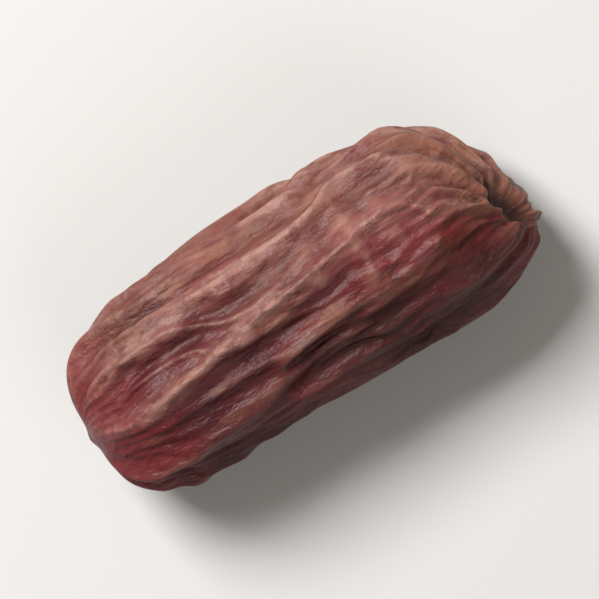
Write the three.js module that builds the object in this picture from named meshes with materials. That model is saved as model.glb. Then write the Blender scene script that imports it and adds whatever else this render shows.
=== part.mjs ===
// A dried date, lying on its side along X: its tip is at -X and its stem end at +X.
// It is one grown piece. The skin is a lathe surface whose every point is pushed in or out by
// formula: long folds that fork and run together, finer folds between them, short folds across,
// broad dents, the puckered hollow with the scar of the stalk, and the small point at the tip.
import * as THREE from "three";
import { mergeVertices } from "three/addons/utils/BufferGeometryUtils.js";

// Real size, in millimetres
const LENGTH = 38.5;
const WIDTH = 17.2;
const HEIGHT = 15.6;
const PRESSED_FLAT = 0.5; // how far the underside is pressed in where the date rests

// Outline of the body: a long barrel, blunter at the stem end and narrower towards the tip
const TIP_BLUNTNESS = 3.3;
const STEM_BLUNTNESS = 4.4;
const TIP_TAPER = 0.03;
const OUTLINE_STEPS = 400;

// The body bends a little sideways. Its stem end leans over and is cut off at a slant, and its
// tip lies lower. The starts are parts of the length, the slants and the tip's fall are slopes,
// and the rest is in millimetres.
const BEND = 0.3;
const LEAN_START = 0.82;
const LEAN_SIDEWAYS = -3.0;
const LEAN_UP = 1.8;
const SLANT_START = 0.62;
const SLANT_SIDEWAYS = 0.25;
const SLANT_UP = 0.5;
const TIP_DOWN = 0.03;

// Rings and sides of the skin, with the rings closer together at the two ends
const RINGS = 54;
const SIDES = 108;
const END_CROWDING = 0.05;

// A wave over the skin: its size, how many waves go around and along the date, and its phase.
// A fork is where a fold splits in two, going towards the stem end (turn 1), or two run together
// (turn -1). Its place is a part of the length, and an angle around from the side at +Y.
// Sway moves the folds sideways, bold makes them higher than steady or lower, and lean tips them over.
// Calm is the distance in which the skin settles round a fork, height the height of the folds.
const LONG_FOLDS = {
  count: 8,
  height: 1.1,
  softness: 0.28,
  steady: 0.75,
  calm: 1.2,
  forks: [
    { along: 0.12, around: 1.2, turn: 1 },
    { along: 0.2, around: 3.3, turn: 1 },
    { along: 0.3, around: 5.4, turn: 1 },
    { along: 0.42, around: 2.2, turn: 1 },
    { along: 0.52, around: 4.3, turn: 1 },
    { along: 0.62, around: 0.5, turn: -1 },
    { along: 0.78, around: 1.7, turn: -1 },
    { along: 0.88, around: 3.4, turn: -1 },
  ],
  sway: [
    { size: 0.7, turns: 0, waves: 0.8, phase: -1.0 },
    { size: 0.4, turns: 1, waves: 1.1, phase: 0.4 },
    { size: 0.25, turns: -2, waves: 2.1, phase: -1.6 },
    { size: 0.16, turns: 3, waves: 4.1, phase: -0.6 },
  ],
  bold: [
    { size: 0.2, turns: 1, waves: 0.35, phase: -1.9 },
    { size: 0.16, turns: 2, waves: 1.3, phase: 0.0 },
    { size: 0.12, turns: 3, waves: -2.2, phase: 1.0 },
  ],
  lean: [{ size: 0.5, turns: 2, waves: 0.5, phase: 1.0 }],
};

const FINE_FOLDS = {
  count: 21,
  height: 0.6,
  softness: 0.3,
  steady: 0.62,
  calm: 0.8,
  forks: [
    { along: 0.18, around: 2.6, turn: 1 },
    { along: 0.26, around: 5.9, turn: 1 },
    { along: 0.33, around: 1.6, turn: -1 },
    { along: 0.38, around: 0.9, turn: 1 },
    { along: 0.47, around: 3.9, turn: -1 },
    { along: 0.58, around: 2.2, turn: 1 },
    { along: 0.66, around: 1.2, turn: 1 },
    { along: 0.7, around: 5.0, turn: -1 },
  ],
  sway: [
    { size: 1.6, turns: 1, waves: 1.1, phase: -0.2 },
    { size: 0.9, turns: -1, waves: 2.3, phase: -1.6 },
    { size: 0.5, turns: 2, waves: 4.3, phase: 1.4 },
  ],
  bold: [{ size: 0.38, turns: 2, waves: -1.6, phase: 0.8 }],
  lean: [{ size: 0.3, turns: 3, waves: 1.0, phase: 0.0 }],
};

// Short folds across the date, which show only in the patches where both waves are above zero
const CROSS_FOLDS = {
  count: 13,
  height: 0.3,
  softness: 0.3,
  bend: [
    { size: 1.5, turns: 2, waves: 0.5, phase: -1.6 },
    { size: 1.1, turns: 3, waves: -1.4, phase: -0.6 },
    { size: 0.8, turns: 5, waves: 0, phase: 0.4 },
  ],
  patches: [
    [{ size: 1, turns: 2, waves: 1.1, phase: -0.9 }],
    [{ size: 1, turns: -1, waves: 1.8, phase: 0.5 }],
  ],
};

// Broad dents and swellings, in millimetres
const DENTS = [
  { size: 0.28, turns: 2, waves: 0.6, phase: 0.4 },
  { size: 0.22, turns: 1, waves: 1.7, phase: 2.1 },
  { size: 0.2, turns: 3, waves: 1.1, phase: 4.4 },
  { size: 0.12, turns: 4, waves: -1.9, phase: 1.2 },
];

// The hollow at the stem end, its rim and the scar of the stalk in it, and the point at the tip,
// in millimetres
const HOLLOW_RADIUS = 2.3;
const HOLLOW_DEPTH = 1.4;
const SCAR_RADIUS = 1.0;
const SCAR_HEIGHT = 0.5;
const RIM_RADIUS = 3.0;
const RIM_BREADTH = 0.7;
const RIM_HEIGHT = 0.35;
const POINT_RADIUS = 0.8;
const POINT_HEIGHT = 0.3;

// Folds come in over these distances from the two ends, in millimetres. The long ones start right
// at the hollow, at a part of their full height.
const TIP_SMOOTH = [1.5, 9];
const STEM_SMOOTH = [1.5, 6];
const STEM_PUCKER = [0.3, 3];
const PUCKER_LOW = 0.42;

// The date's own weight has pressed the folds lower along the underside. The share is what they
// lose there, and a higher power makes the belt narrower.
const UNDERSIDE_SMOOTH = 0.5;
const UNDERSIDE_POWER = 4;

const TURN = 2 * Math.PI;
const FOLD_MIDDLE = 0.4; // the height that a fold pattern has on the average

// Rises smoothly from 0 at the start of a span to 1 at its end.
function rise([start, end], value) {
  return THREE.MathUtils.smoothstep(value, start, end);
}

function waveSum(waves, along, around) {
  return waves.reduce(
    (sum, w) => sum + w.size * Math.cos(w.turns * around + TURN * w.waves * along + w.phase),
    0,
  );
}

// A point of the outline: how far out from the axis, and how far along it.
function outlinePoint(angle) {
  const power = 2 / (angle < Math.PI / 2 ? TIP_BLUNTNESS : STEM_BLUNTNESS);
  const along = -Math.sign(Math.cos(angle)) * Math.abs(Math.cos(angle)) ** power;
  const out = Math.abs(Math.sin(angle)) ** power * (1 + TIP_TAPER * along);
  return new THREE.Vector2((out * WIDTH) / 2, (along * LENGTH) / 2);
}

const outline = new THREE.SplineCurve(
  Array.from({ length: OUTLINE_STEPS + 1 }, (_, i) => outlinePoint((Math.PI * i) / OUTLINE_STEPS)),
);
outline.arcLengthDivisions = OUTLINE_STEPS * 2;
const OUTLINE_LENGTH = outline.getLength();

// Once round a fork, the pattern of folds has moved on by one fold.
function forkPhase(fork, along, around) {
  const across = (around - fork.around) / 2;
  const lengthwise = (Math.PI * (along - fork.along) * LENGTH) / WIDTH;
  const angle = Math.atan2(
    Math.cos(across) * Math.sinh(lengthwise),
    Math.sin(across) * Math.cosh(lengthwise),
  );
  return fork.turn * angle;
}

// 0 at a fork, where its folds meet, and 1 away from it.
function forkCalm(fork, calm, along, around) {
  const across = Math.sin((around - fork.around) / 2) * WIDTH;
  const lengthwise = (along - fork.along) * LENGTH;
  return 1 - Math.exp(-(across ** 2 + lengthwise ** 2) / calm ** 2);
}

// Height of a row of folds, from 0 in the broad grooves to 1 on the narrow crests.
function foldProfile(phase, softness) {
  const top = Math.hypot(1, softness);
  return (top - Math.hypot(Math.sin(phase / 2), softness)) / (top - softness);
}

// Relief of folds that run the length of the date.
function lengthwiseFolds(folds, along, around) {
  let phase = folds.count * around + waveSum(folds.sway, along, around);
  let height = folds.height * (folds.steady + waveSum(folds.bold, along, around));
  for (const fork of folds.forks) {
    phase -= forkPhase(fork, along, around);
    height *= forkCalm(fork, folds.calm, along, around);
  }
  phase += waveSum(folds.lean, along, around) * Math.sin(phase);
  return height * (foldProfile(phase, folds.softness) - FOLD_MIDDLE);
}

function crossFolds(along, around) {
  const height = CROSS_FOLDS.patches.reduce(
    (product, patch) => product * Math.max(0, waveSum(patch, along, around)),
    CROSS_FOLDS.height,
  );
  const phase = TURN * CROSS_FOLDS.count * along + waveSum(CROSS_FOLDS.bend, along, around);
  return height * (foldProfile(phase, CROSS_FOLDS.softness) - FOLD_MIDDLE);
}

// The hollow, its rim and the scar lie round the pole at the stem end, and the small point on the
// other pole.
function endForms(fromTip, fromStem) {
  return (
    RIM_HEIGHT * Math.exp(-(((fromStem - RIM_RADIUS) / RIM_BREADTH) ** 2)) -
    HOLLOW_DEPTH * Math.exp(-((fromStem / HOLLOW_RADIUS) ** 3)) +
    SCAR_HEIGHT * Math.exp(-((fromStem / SCAR_RADIUS) ** 4)) +
    POINT_HEIGHT * Math.exp(-((fromTip / POINT_RADIUS) ** 2))
  );
}

// How far a point of the skin stands out from the plain body, in millimetres.
function relief(along, around) {
  const fromTip = along * OUTLINE_LENGTH;
  const fromStem = (1 - along) * OUTLINE_LENGTH;
  const offTip = rise(TIP_SMOOTH, fromTip);
  const offStem = rise(STEM_SMOOTH, fromStem);
  const pucker = rise(STEM_PUCKER, fromStem) * (PUCKER_LOW + (1 - PUCKER_LOW) * offStem);
  const free = 1 - UNDERSIDE_SMOOTH * Math.max(0, -Math.sin(around)) ** UNDERSIDE_POWER;
  const large = pucker * lengthwiseFolds(LONG_FOLDS, along, around);
  const small = offStem * (lengthwiseFolds(FINE_FOLDS, along, around) + crossFolds(along, around));
  const dented = offStem * waveSum(DENTS, along, around);
  return offTip * (free * (large + small) + dented) + endForms(fromTip, fromStem);
}

// The place of a point of the skin.
function skinPoint(along, around) {
  const at = outline.getPointAt(along);
  const way = outline.getTangentAt(along);
  const out = relief(along, around);
  const isPole = along <= 0 || along >= 1;
  const radius = isPole ? 0 : at.x + out * way.y;
  const point = new THREE.Vector3(
    at.y - out * way.x,
    radius * Math.cos(around),
    radius * Math.sin(around) * (HEIGHT / WIDTH),
  );
  const slanted = rise([SLANT_START, 1], along);
  const leaning = rise([LEAN_START, 1], along);
  point.x -= slanted * (SLANT_SIDEWAYS * point.y + SLANT_UP * point.z);
  point.y += BEND * Math.sin(Math.PI * along) + LEAN_SIDEWAYS * leaning;
  point.z += LEAN_UP * leaning + TIP_DOWN * at.y;
  return point;
}

// The skin starts as a lathe surface, whose map gives each point's place along and around.
function dateSkin() {
  const skin = new THREE.LatheGeometry(outline.getSpacedPoints(RINGS), SIDES);
  const place = skin.attributes.position;
  const map = skin.attributes.uv;
  for (let i = 0; i < place.count; i++) {
    const even = map.getY(i);
    const along = even - END_CROWDING * Math.sin(TURN * even);
    const around = TURN * (map.getX(i) % 1);
    place.setXYZ(i, ...skinPoint(along, around));
  }
  skin.deleteAttribute("normal");
  skin.deleteAttribute("uv");
  return mergeVertices(skin);
}

// Presses the underside flat, and brings the skin to its real size with its middle over the origin.
function settle(skin) {
  const place = skin.attributes.position;
  skin.computeBoundingBox();
  const floor = skin.boundingBox.min.z + PRESSED_FLAT;
  for (let i = 0; i < place.count; i++) place.setZ(i, Math.max(place.getZ(i), floor));
  skin.computeBoundingBox();
  const { min, max } = skin.boundingBox;
  skin.translate(-(min.x + max.x) / 2, -(min.y + max.y) / 2, -min.z);
  skin.scale(LENGTH / (max.x - min.x), WIDTH / (max.y - min.y), HEIGHT / (max.z - min.z));
  skin.computeVertexNormals();
  return skin;
}

const driedSkin = new THREE.MeshStandardMaterial({ color: 0x5c2226, roughness: 0.42, metalness: 0 });

const date = new THREE.Mesh(settle(dateSkin()), driedSkin);
date.name = "date";

const group = new THREE.Group();
group.add(date);

export default group;
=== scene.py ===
import math

import bpy
import numpy as np
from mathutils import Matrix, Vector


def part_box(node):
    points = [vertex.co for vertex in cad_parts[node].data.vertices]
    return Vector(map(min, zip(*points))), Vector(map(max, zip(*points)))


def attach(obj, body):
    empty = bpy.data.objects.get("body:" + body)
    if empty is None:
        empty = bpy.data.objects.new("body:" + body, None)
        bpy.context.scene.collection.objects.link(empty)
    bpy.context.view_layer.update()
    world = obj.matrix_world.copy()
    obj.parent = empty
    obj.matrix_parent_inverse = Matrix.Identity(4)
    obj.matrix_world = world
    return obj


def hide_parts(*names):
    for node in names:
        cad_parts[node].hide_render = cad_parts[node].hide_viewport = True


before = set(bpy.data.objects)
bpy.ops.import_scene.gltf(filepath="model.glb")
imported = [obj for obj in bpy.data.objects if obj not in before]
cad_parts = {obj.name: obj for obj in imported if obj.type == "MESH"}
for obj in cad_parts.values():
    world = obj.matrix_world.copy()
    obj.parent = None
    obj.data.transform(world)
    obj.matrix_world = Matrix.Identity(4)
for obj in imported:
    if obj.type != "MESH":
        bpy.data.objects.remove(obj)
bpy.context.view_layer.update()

# The body
# A dried date is soft flesh round a stone, grown as a long barrel that is blunt at the stem end
# and narrower at the tip. It lies along X with its stem end at +X. The outline is worked out in
# millimetres, and each point of a ball is given its place along the outline and around it.

MM = 0.001
TURN = 2 * math.pi
SIDES = 360
RINGS = 256
END_CROWDING = 0.05  # draws the rings together at the two ends
TIP_BLUNTNESS = 3.3
STEM_BLUNTNESS = 4.4
TIP_TAPER = 0.03
OUTLINE_STEPS = 2000

low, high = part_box("date")
LENGTH, WIDTH, HEIGHT = ((b - a) / MM for a, b in zip(low, high))

# The ball's two poles are turned onto X, where they become the tip and the stem end.
bpy.ops.object.select_all(action="DESELECT")
bpy.ops.mesh.primitive_uv_sphere_add(segments=SIDES, ring_count=RINGS, radius=1)
fruit = bpy.context.object
fruit.name = "date_fruit"
bpy.ops.object.mode_set(mode="EDIT")
bpy.ops.mesh.select_all(action="SELECT")
bpy.ops.transform.rotate(value=math.pi / 2, orient_axis="Y", center_override=(0, 0, 0))
bpy.ops.object.mode_set(mode="OBJECT")

# Along goes from 0 at the tip to 1 at the stem end. Around is an angle that starts at +Y and goes
# over the top.
ball = np.empty(len(fruit.data.vertices) * 3)
fruit.data.vertices.foreach_get("co", ball)
ball = ball.reshape(-1, 3)
even = np.arccos(np.clip(-ball[:, 0], -1, 1)) / math.pi
along = even - END_CROWDING * np.sin(TURN * even)
around = np.arctan2(ball[:, 2], ball[:, 1])

# Half of the outline seen from above, from the tip to the stem end: an ellipse with blunted ends
angle = np.linspace(0, math.pi, OUTLINE_STEPS + 1)
power = 2 / np.where(angle < math.pi / 2, TIP_BLUNTNESS, STEM_BLUNTNESS)
line_along = -np.sign(np.cos(angle)) * np.abs(np.cos(angle)) ** power
line_x = line_along * LENGTH / 2
line_r = np.abs(np.sin(angle)) ** power * (1 + TIP_TAPER * line_along) * WIDTH / 2
line_r[0] = line_r[-1] = 0
line_run = np.concatenate([[0], np.cumsum(np.hypot(np.diff(line_x), np.diff(line_r)))])

# Each point's way over the skin from the two ends, its place on the outline, and the direction
# that the outline has there
from_tip = along * line_run[-1]
from_stem = (1 - along) * line_run[-1]
axis_x = np.interp(from_tip, line_run, line_x)
radius = np.interp(from_tip, line_run, line_r)
way_x = np.interp(from_tip, line_run, np.gradient(line_x, line_run))
way_r = np.interp(from_tip, line_run, np.gradient(line_r, line_run))

# The folds
# As the flesh shrinks, the thin skin buckles into long folds with narrow crests and broad
# grooves. They sway, split in two and run together. Between them lie finer folds and hair
# wrinkles, and in patches short folds run across.

# A row of folds has its count round the date, its height in millimetres, how soft its crests are,
# the steady share of its height, and how many millimetres round a fork stay calm. Its waves make
# the folds sway, make some of them bold and make them lean over.
# A wave is a size, turns around, waves along and a phase. A fork is a place along and around,
# and a turn: 1 where a fold splits in two towards the stem end, -1 where two run together.
LONG_FOLDS = {
    "count": 8, "height": 1.1, "softness": 0.14, "steady": 0.75, "calm": 1.2,
    "forks": [
        (0.12, 1.2, 1), (0.20, 3.3, 1), (0.30, 5.4, 1), (0.42, 2.2, 1),
        (0.52, 4.3, 1), (0.62, 0.5, -1), (0.78, 1.7, -1), (0.88, 3.4, -1),
    ],
    "sway": [(0.7, 0, 0.8, -1.0), (0.4, 1, 1.1, 0.4), (0.25, -2, 2.1, -1.6), (0.16, 3, 4.1, -0.6)],
    "bold": [(0.2, 1, 0.35, -1.9), (0.16, 2, 1.3, 0.0), (0.12, 3, -2.2, 1.0)],
    "lean": [(0.5, 2, 0.5, 1.0)],
}
FINE_FOLDS = {
    "count": 21, "height": 0.6, "softness": 0.2, "steady": 0.62, "calm": 0.8,
    "forks": [
        (0.18, 2.6, 1), (0.26, 5.9, 1), (0.33, 1.6, -1), (0.38, 0.9, 1),
        (0.47, 3.9, -1), (0.58, 2.2, 1), (0.66, 1.2, 1), (0.70, 5.0, -1),
    ],
    "sway": [(1.6, 1, 1.1, -0.2), (0.9, -1, 2.3, -1.6), (0.5, 2, 4.3, 1.4)],
    "bold": [(0.38, 2, -1.6, 0.8)],
    "lean": [(0.3, 3, 1.0, 0.0)],
}
HAIR_FOLDS = {
    "count": 41, "height": 0.24, "softness": 0.2, "steady": 0.5, "calm": 0.5,
    "forks": [
        (0.15, 0.6, 1), (0.22, 3.6, -1), (0.29, 2.0, 1), (0.36, 4.9, 1), (0.41, 1.3, -1),
        (0.50, 3.1, 1), (0.56, 5.6, -1), (0.61, 0.2, 1), (0.69, 2.5, -1), (0.74, 4.2, 1),
        (0.81, 1.0, -1), (0.87, 5.3, -1),
    ],
    "sway": [(2.6, 1, 1.7, 0.9), (1.7, -2, 3.1, 2.2), (1.1, 3, 5.3, 0.4), (0.7, -4, 8.1, 1.0)],
    "bold": [(0.3, 3, 1.2, 1.9), (0.3, -2, 2.9, 0.3)],
    "lean": [(0.3, 1, 1.0, 0.0)],
}
CROSS_COUNT = 13
CROSS_HEIGHT = 0.3
CROSS_SOFTNESS = 0.2
CROSS_BEND = [(1.5, 2, 0.5, -1.6), (1.1, 3, -1.4, -0.6), (0.8, 5, 0, 0.4)]
CROSS_PATCHES = [[(1, 2, 1.1, -0.9)], [(1, -1, 1.8, 0.5)]]
DENTS = [(0.28, 2, 0.6, 0.4), (0.22, 1, 1.7, 2.1), (0.2, 3, 1.1, 4.4), (0.12, 4, -1.9, 1.2)]
FOLD_MIDDLE = 0.4  # the height that a row of folds has on the average


def wave_sum(waves):
    """The sum of some waves at each point of the skin."""
    return sum(
        size * np.cos(turns_around * around + TURN * waves_along * along + phase)
        for size, turns_around, waves_along, phase in waves
    )


def profile(phase, softness):
    """Height from 0 in the broad grooves to 1 on the narrow crests."""
    top = math.hypot(1, softness)
    return (top - np.hypot(np.sin(phase / 2), softness)) / (top - softness)


def lengthwise(folds):
    """Relief in millimetres of a row of folds that run the length of the date."""
    phase = folds["count"] * around + wave_sum(folds["sway"])
    height = folds["height"] * (folds["steady"] + wave_sum(folds["bold"]))
    for fork_along, fork_around, turn in folds["forks"]:
        # The phase winds once round a fork, so one side of it has one fold more than the other.
        across = (around - fork_around) / 2
        length = math.pi * (along - fork_along) * LENGTH / WIDTH
        phase = phase - turn * np.arctan2(np.cos(across) * np.sinh(length), np.sin(across) * np.cosh(length))
        away = np.hypot((along - fork_along) * LENGTH, np.sin(across) * WIDTH)
        height = height * (1 - np.exp(-((away / folds["calm"]) ** 2)))
    phase = phase + wave_sum(folds["lean"]) * np.sin(phase)
    return height * (profile(phase, folds["softness"]) - FOLD_MIDDLE)


long_folds = lengthwise(LONG_FOLDS)
fine_folds = lengthwise(FINE_FOLDS)
hair_folds = lengthwise(HAIR_FOLDS)
cross_phase = TURN * CROSS_COUNT * along + wave_sum(CROSS_BEND)
cross_patch = np.prod([np.maximum(0, wave_sum(patch)) for patch in CROSS_PATCHES], axis=0)
cross_folds = CROSS_HEIGHT * cross_patch * (profile(cross_phase, CROSS_SOFTNESS) - FOLD_MIDDLE)

# The two ends
# The stalk came out of a round hollow and left a scar in it, and the skin is gathered over its rim
# like a purse. At the tip the skin is smooth and tight and ends in a small point. Lengths are in
# millimetres.

HOLLOW_RADIUS = 2.3
HOLLOW_DEPTH = 1.4
SCAR_RADIUS = 1.0
SCAR_HEIGHT = 0.5
RIM_RADIUS = 3.0
RIM_BREADTH = 0.7
RIM_HEIGHT = 0.35
POINT_RADIUS = 0.8
POINT_HEIGHT = 0.3
TIP_SMOOTH = (1.5, 9)
STEM_SMOOTH = (1.5, 6)
STEM_PUCKER = (0.3, 3)
PUCKER_LOW = 0.42  # how much of the long folds' height the gathered skin keeps
UNDERSIDE_SMOOTH = 0.5  # how much of the folds' height is pressed out of the underside
UNDERSIDE_POWER = 4


def rise(span, value):
    """Rises smoothly from 0 at the start of a span to 1 at its end."""
    part = np.clip((value - span[0]) / (span[1] - span[0]), 0, 1)
    return part * part * (3 - 2 * part)


off_tip = rise(TIP_SMOOTH, from_tip)
off_stem = rise(STEM_SMOOTH, from_stem)
pucker = rise(STEM_PUCKER, from_stem) * (PUCKER_LOW + (1 - PUCKER_LOW) * off_stem)
free = 1 - UNDERSIDE_SMOOTH * np.maximum(0, -np.sin(around)) ** UNDERSIDE_POWER
small_folds = off_stem * (fine_folds + cross_folds + hair_folds)

# The higher the power, the flatter a form is in its middle and the steeper at its side.
end_forms = (
    RIM_HEIGHT * np.exp(-(((from_stem - RIM_RADIUS) / RIM_BREADTH) ** 2))
    - HOLLOW_DEPTH * np.exp(-((from_stem / HOLLOW_RADIUS) ** 3))
    + SCAR_HEIGHT * np.exp(-((from_stem / SCAR_RADIUS) ** 4))
    + POINT_HEIGHT * np.exp(-((from_tip / POINT_RADIUS) ** 2))
)
relief = off_tip * (free * (pucker * long_folds + small_folds) + off_stem * wave_sum(DENTS)) + end_forms

# The date as it lies
# It is a little bent, its stem end leans over and is cut off at a slant, and its own weight has
# pressed a small flat where it rests. Its real size is that of the plain model.

# A start is a share of the way from the tip. The two slants and the tip's dip are slopes, and the
# other values are in millimetres.
BEND = 0.3
LEAN_START = 0.82
LEAN_SIDEWAYS = -3.0
LEAN_UP = 1.8
SLANT_START = 0.62
SLANT_SIDEWAYS = 0.25
SLANT_UP = 0.5
TIP_DOWN = 0.03
PRESSED_FLAT = 0.5
POLE_REACH = 1e-6

# The relief stands square on the outline, and the two poles stay on the axis.
at_pole = np.minimum(from_tip, from_stem) < POLE_REACH
radius = np.where(at_pole, 0, radius + relief * way_x)
skin = np.stack([
    axis_x - relief * way_r,
    radius * np.cos(around),
    radius * np.sin(around) * HEIGHT / WIDTH,
], axis=1)
slanted = rise((SLANT_START, 1), along)
leaning = rise((LEAN_START, 1), along)
skin[:, 0] -= slanted * (SLANT_SIDEWAYS * skin[:, 1] + SLANT_UP * skin[:, 2])
skin[:, 1] += BEND * np.sin(math.pi * along) + LEAN_SIDEWAYS * leaning
skin[:, 2] += LEAN_UP * leaning + TIP_DOWN * axis_x

skin[:, 2] = np.maximum(skin[:, 2], skin[:, 2].min() + PRESSED_FLAT)
reach = np.ptp(skin, axis=0)
middle = (skin.max(axis=0) + skin.min(axis=0)) / 2
skin = (skin - middle) * (np.array([LENGTH, WIDTH, HEIGHT]) / reach)
skin[:, 2] += HEIGHT / 2
fruit.data.vertices.foreach_set("co", (skin * MM).ravel())
fruit.data.update()
bpy.ops.object.shade_smooth()

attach(fruit, "root")
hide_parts("date")

# The skin
# Thin dark red skin over darker flesh. It lies tight and dark in the grooves, and painted shade darkens
# them further. On the crests it has come loose and a dry bloom makes it mauve, with a painted highlight
# over it and along the highest crests, and the top is painted paler where the light falls. One flank and
# the stem end have dried the most and are tan, the other flank is darkened with painted shade, the stem
# hollow is brown with painted shade in it, and the tip is crimson.

# Each is about 0 in a groove and 1 on a crest.
crest = long_folds / LONG_FOLDS["height"] + FOLD_MIDDLE
fine_crest = fine_folds / FINE_FOLDS["height"] + cross_folds / CROSS_HEIGHT + FOLD_MIDDLE
hair_crest = hair_folds / HAIR_FOLDS["height"] + FOLD_MIDDLE
sideways = np.cos(around)  # 1 along the dry flank at +Y and -1 along the flank at -Y, which is painted with shade

# Where things lie on the skin, from 0 to 1. The spans over from_tip and from_stem are in
# millimetres, and the others have no unit.
MARKS = {
    # The grooves, fine grooves and hair wrinkles hold tight dark skin, and painted shade darkens them
    # further.
    "groove": 1 - rise((0, 0.26), crest),
    # Strongest on top and fading on the two flanks, most on the -Y flank, where painted shade takes over
    # from the painted highlight.
    "crown": rise((0.15, 0.8), crest)
    * (1 - 0.8 * rise((-0.3, 0.6), -sideways)) * (1 - 0.35 * rise((0.4, 1), sideways)),
    # A painted highlight on the highest crests and fine crests, weaker on the shaded -Y flank.
    "crest_highlight": np.maximum(rise((0.72, 1), crest), 0.6 * rise((0.55, 1), fine_crest))
    * (1 - 0.6 * rise((-0.1, 0.7), -sideways)),
    "fine_groove": 1 - rise((0, 0.3), fine_crest),
    "fine_crown": rise((0.2, 0.6), fine_crest),
    "hair_groove": 1 - rise((0, 0.3), hair_crest),
    # The dry flank has dried the most towards the stem end.
    "dry_flank": rise((-0.1, 1), 0.8 * sideways + 0.9 * (along - 0.5)),
    # Painted light: the top is paler towards the +Y side and towards the stem end.
    "painted_lit_top": rise((-0.15, 0.25), sideways) * (1 - rise((0.5, 0.95), sideways)) * rise((0.1, 0.6), along),
    # Painted shade: darker towards the -Y flank.
    "shaded_flank": rise((0.05, 0.8), -sideways),
    # The tan of the stem end reaches further along the dry flank, and is weaker in fine grooves.
    "stem_end": (1 - rise((1, 11), from_stem - 2.5 * sideways)) * (0.4 + 0.6 * rise((0.1, 0.5), fine_crest)),
    # Brown and painted shade in the stem hollow, reaching further on the -Y side.
    "hollow": 1 - rise((1.5, 3.0), from_stem + 0.3 * sideways),
    "scar": 1 - rise((0.8 * SCAR_RADIUS, 1.2 * SCAR_RADIUS), from_stem),
    "tip": 1 - rise((4, 12), from_tip),
}
for name, values in MARKS.items():
    fruit.data.attributes.new(name, "FLOAT", "POINT").data.foreach_set("value", values.astype(np.float32))


def linear(text):
    """An sRGB hex colour as linear RGBA."""
    parts = [int(text[i:i + 2], 16) / 255 for i in (1, 3, 5)]
    return [p / 12.92 if p <= 0.04045 else ((p + 0.055) / 1.055) ** 2.4 for p in parts] + [1]


def add(tree, kind, inputs, **settings):
    """A node with its settings, its inputs given as values or as sockets to link from."""
    node = tree.nodes.new(kind)
    for name, value in settings.items():
        setattr(node, name, value)
    for key, value in inputs.items():
        if isinstance(value, bpy.types.NodeSocket):
            tree.links.new(value, node.inputs[key])
        else:
            node.inputs[key].default_value = value
    return node


# Dried date skin is waxy and lies wrinkled on sticky flesh. That gives soft highlights which the
# wrinkles break up, and a little red light comes through it.
skin_look = bpy.data.materials.new("dried_date_skin")
skin_look.use_nodes = True
tree = skin_look.node_tree
shader = tree.nodes["Principled BSDF"]

# Noise patterns: the size of their blotches in millimetres, how far they are drawn out along the
# date, and how many finer layers they have. The skin's real grain is finer than a tenth of a
# millimetre, too fine to show, so it is drawn twice as coarse. The wrinkles are sharp, so they
# have ridged noise.
PATTERNS = {
    "redness": (6, 1.6, 4),
    "brownness": (4, 1.4, 4),
    "mottle": (1, 1.6, 6),
    "flank_shade_blotches": (5, 2, 4),
    "bloom_and_highlight": (3.5, 2.2, 4),
    "streaks": (1.6, 4, 6),
    "streaked_parts": (6, 1, 4),
    "dryness": (2, 1.8, 4),
    "wax": (2.5, 2, 4),
    "creases": (1.2, 2.6, 6),
    "wrinkles": (1.5, 3.5, 2),
    "grain": (0.22, 1.5, 3),
    "dust": (0.4, 1.3, 3),
}
PATTERN_SHIFT = 0.3  # metres from one pattern's place in the noise to the next one's
place = add(tree, "ShaderNodeTexCoord", {}).outputs["Object"]
pattern = {}
for i, (name, (blotch, stretch, detail)) in enumerate(PATTERNS.items()):
    spot = add(tree, "ShaderNodeVectorMath", {
        0: place, 1: (1 / stretch, 1, 1), 2: (PATTERN_SHIFT * i,) * 3,
    }, operation="MULTIPLY_ADD").outputs[0]
    pattern[name] = add(tree, "ShaderNodeTexNoise", {
        "Vector": spot, "Scale": 1 / (blotch * MM), "Detail": detail,
    }, noise_type="RIDGED_MULTIFRACTAL" if name == "wrinkles" else "FBM").outputs["Fac"]

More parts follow.
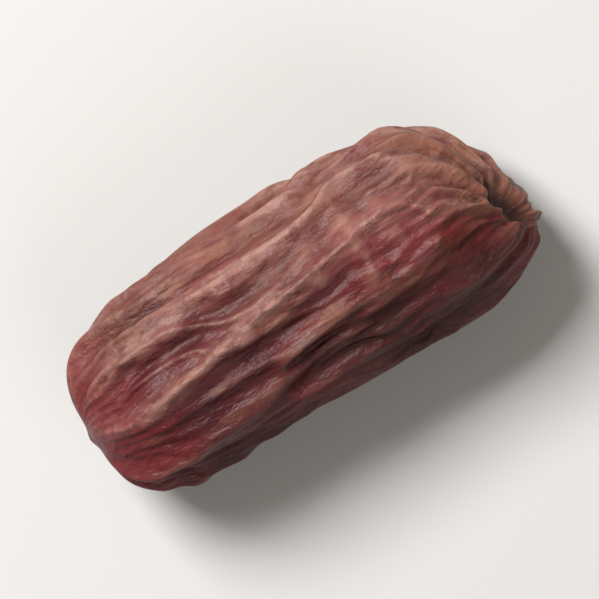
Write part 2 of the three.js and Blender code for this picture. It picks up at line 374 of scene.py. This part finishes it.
# Layers of colour, from the flesh at the bottom to the dry skin on top. Each has a colour, a
# roughness and a strength, the marks that it lies on and the patterns that break it up. A pattern
# goes from its lowest share to 1 as its noise goes from the first number to the second.
FLESH_COLOUR = "#43171a"
FLESH_ROUGHNESS = 0.34
LAYERS = {
    "red_flesh": ("#601f23", 0.4, 1, [], {"redness": (0.35, 0.65, 0)}),
    "brown_flesh": ("#52291a", 0.44, 0.6, [], {"brownness": (0.48, 0.66, 0)}),
    "dark_mottling": ("#300e0e", 0.42, 0.35, [], {"mottle": (0.46, 0.3, 0)}),
    # Tight dark skin and painted shade in the grooves and the fine grooves.
    "grooves_dark_skin_and_shade": ("#320e10", 0.44, 0.5, ["groove"], {}),
    "fine_grooves_dark_skin_and_shade": ("#351311", 0.44, 0.4, ["fine_groove"], {}),
    "dry_flank": ("#71493c", 0.5, 0.8, ["dry_flank"], {
        "dryness": (0.36, 0.6, 0.3), "mottle": (0.36, 0.56, 0.5),
    }),
    # Painted light along the top.
    "painted_lit_top": ("#8a5d58", 0.48, 0.36, ["painted_lit_top"], {
        "bloom_and_highlight": (0.3, 0.58, 0.3), "mottle": (0.36, 0.56, 0.5),
    }),
    # Loose skin with a mauve dry bloom on the crests, with a painted highlight over it.
    "bloom_and_highlight": ("#7a524b", 0.46, 0.85, ["crown"], {
        "bloom_and_highlight": (0.34, 0.62, 0.3), "mottle": (0.38, 0.58, 0.35),
    }),
    # A painted highlight along the highest crests.
    "painted_crest_highlight": ("#957264", 0.44, 0.6, ["crest_highlight"], {"mottle": (0.4, 0.6, 0.3)}),
    # Tight dark skin and painted shade in the hair wrinkles.
    "hair_grooves_dark_skin_and_shade": ("#361611", 0.46, 0.4, ["hair_groove"], {}),
    "tan_streaks": ("#8c5f4a", 0.49, 0.5, ["fine_crown"], {
        "streaks": (0.5, 0.66, 0), "streaked_parts": (0.42, 0.6, 0),
    }),
    # Painted shade on the -Y flank, broken into blotches.
    "shaded_flank": ("#280a0c", 0.44, 0.65, ["shaded_flank"], {"flank_shade_blotches": (0.35, 0.6, 0.4)}),
    "dry_stem_end": ("#865846", 0.49, 0.85, ["stem_end"], {"dryness": (0.36, 0.62, 0.1)}),
    # Dark brown and painted shade in the stem hollow.
    "hollow": ("#341a10", 0.54, 1, ["hollow"], {}),
    "scar": ("#6a4a33", 0.84, 0.9, ["scar"], {"mottle": (0.4, 0.6, 0.2)}),
    "tight_tip": ("#66272a", 0.44, 0.68, ["tip"], {}),
    "dust": ("#a8968c", 0.64, 0.22, ["crown"], {"dust": (0.56, 0.68, 0), "bloom_and_highlight": (0.34, 0.62, 0.3)}),
}

# A Mix node's sockets go by number: 0 is the share, 2 and 3 take numbers, and 6 and 7 take
# colours. It gives a number at 0 or a colour at 2.
colour = linear(FLESH_COLOUR)
roughness = FLESH_ROUGHNESS
for layer, (layer_colour, layer_roughness, amount, marks, broken_by) in LAYERS.items():
    shares = [add(tree, "ShaderNodeAttribute", {}, attribute_name=mark).outputs["Fac"] for mark in marks]
    for name, (start, end, lowest) in broken_by.items():
        shares.append(add(tree, "ShaderNodeMapRange", {
            "Value": pattern[name], "From Min": start, "From Max": end, "To Min": lowest,
        }, interpolation_type="SMOOTHSTEP").outputs["Result"])
    for share in shares:
        amount = add(tree, "ShaderNodeMath", {0: amount, 1: share}, operation="MULTIPLY").outputs[0]
    colour = add(tree, "ShaderNodeMix", {
        0: amount, 6: colour, 7: linear(layer_colour),
    }, data_type="RGBA", label=layer).outputs[2]
    roughness = add(tree, "ShaderNodeMix", {
        0: amount, 2: roughness, 3: layer_roughness,
    }, data_type="FLOAT", label=layer).outputs[0]

# With the wax on the skin, the roughness goes up and down around that of the layers.
WAX_MIDDLE = 0.5
WAX_SPREAD = 0.4
wax = add(tree, "ShaderNodeMath", {0: pattern["wax"], 1: WAX_MIDDLE}, operation="SUBTRACT").outputs[0]
roughness = add(tree, "ShaderNodeMath", {
    0: wax, 1: WAX_SPREAD, 2: roughness,
}, operation="MULTIPLY_ADD").outputs[0]

# What is too fine for the mesh: depths in millimetres
RELIEF = {"creases": 0.5, "wrinkles": 0.24, "grain": 0.04}
bumps = {}
for name, depth in RELIEF.items():
    bumps["Normal"] = add(tree, "ShaderNodeBump", {
        "Height": pattern[name], "Strength": 1.0, "Distance": depth * MM, **bumps,
    }).outputs["Normal"]

# Plant wax over sugary flesh has an IOR between 1.4 and 1.45, and the dry bloom takes away more
# than half of its shine. Light goes nearly a millimetre deep, and red light goes the furthest.
WAX_IOR = 1.42
SHINE = 0.22
LIGHT_THROUGH = 0.12
LIGHT_DEPTH = 0.8
RED_GREEN_BLUE_DEPTHS = (1.0, 0.35, 0.2)
shader.inputs["IOR"].default_value = WAX_IOR
shader.inputs["Specular IOR Level"].default_value = SHINE
shader.inputs["Subsurface Weight"].default_value = LIGHT_THROUGH
shader.inputs["Subsurface Radius"].default_value = RED_GREEN_BLUE_DEPTHS
shader.inputs["Subsurface Scale"].default_value = LIGHT_DEPTH * MM
tree.links.new(colour, shader.inputs["Base Color"])
tree.links.new(roughness, shader.inputs["Roughness"])
tree.links.new(bumps["Normal"], shader.inputs["Normal"])
fruit.data.materials.append(skin_look)

# The floor and the light
# The date lies on a plain sheet of paper. One broad window above the far side lights it, a
# weaker lamp fills in the shadows from the other side, and a little light comes from all round.

PAPER_COLOUR = "#b6b5b3"
PAPER_ROUGHNESS = 0.9
PAPER_SIDE = 2
ROOM_COLOUR = "#fdf2e6"
ROOM_LIGHT = 0.24

# Matt paper gives a soft shadow and hardly any shine.
floor_look = bpy.data.materials.new("matt_paper")
floor_look.use_nodes = True
floor_shader = floor_look.node_tree.nodes["Principled BSDF"]
floor_shader.inputs["Base Color"].default_value = linear(PAPER_COLOUR)
floor_shader.inputs["Roughness"].default_value = PAPER_ROUGHNESS

bpy.ops.mesh.primitive_plane_add(size=PAPER_SIDE)
floor = bpy.context.object
floor.name = "floor"
floor.data.materials.append(floor_look)

world = bpy.data.worlds.new("studio")
bpy.context.scene.world = world
world.use_nodes = True
world.node_tree.nodes["Background"].inputs["Color"].default_value = linear(ROOM_COLOUR)
world.node_tree.nodes["Background"].inputs["Strength"].default_value = ROOM_LIGHT

# Each lamp's place and side in metres, and its power in watts. It is turned towards the date.
LAMPS = {
    "window": ((-0.10, 0.30, 0.38), 0.2, 4.8),
    "fill": ((0.02, -0.38, 0.26), 0.35, 0.75),
}
for name, (position, side, watts) in LAMPS.items():
    light = bpy.data.lights.new(name, "AREA")
    light.size = side
    light.energy = watts
    lamp = bpy.data.objects.new(name, light)
    bpy.context.collection.objects.link(lamp)
    lamp.location = position
    lamp.rotation_euler = (-lamp.location).to_track_quat("-Z", "Y").to_euler()

# The camera
# It looks straight down from well above, through a long lens. The date lies turned by a third of
# a right angle in the picture, with its stem end up to the right.

VIEW_TURN = math.radians(33)
VIEW_HEIGHT = 0.42
LENS = 325
SENSOR_WIDTH = 36

camera_data = bpy.data.cameras.new("camera")
camera_data.lens = LENS
camera_data.sensor_width = SENSOR_WIDTH
camera = bpy.data.objects.new("camera", camera_data)
bpy.context.collection.objects.link(camera)
camera.location = (0, 0, VIEW_HEIGHT)
camera.rotation_euler = (0, 0, -VIEW_TURN)
bpy.context.scene.camera = camera
bpy.context.scene.view_settings.view_transform = "Standard"
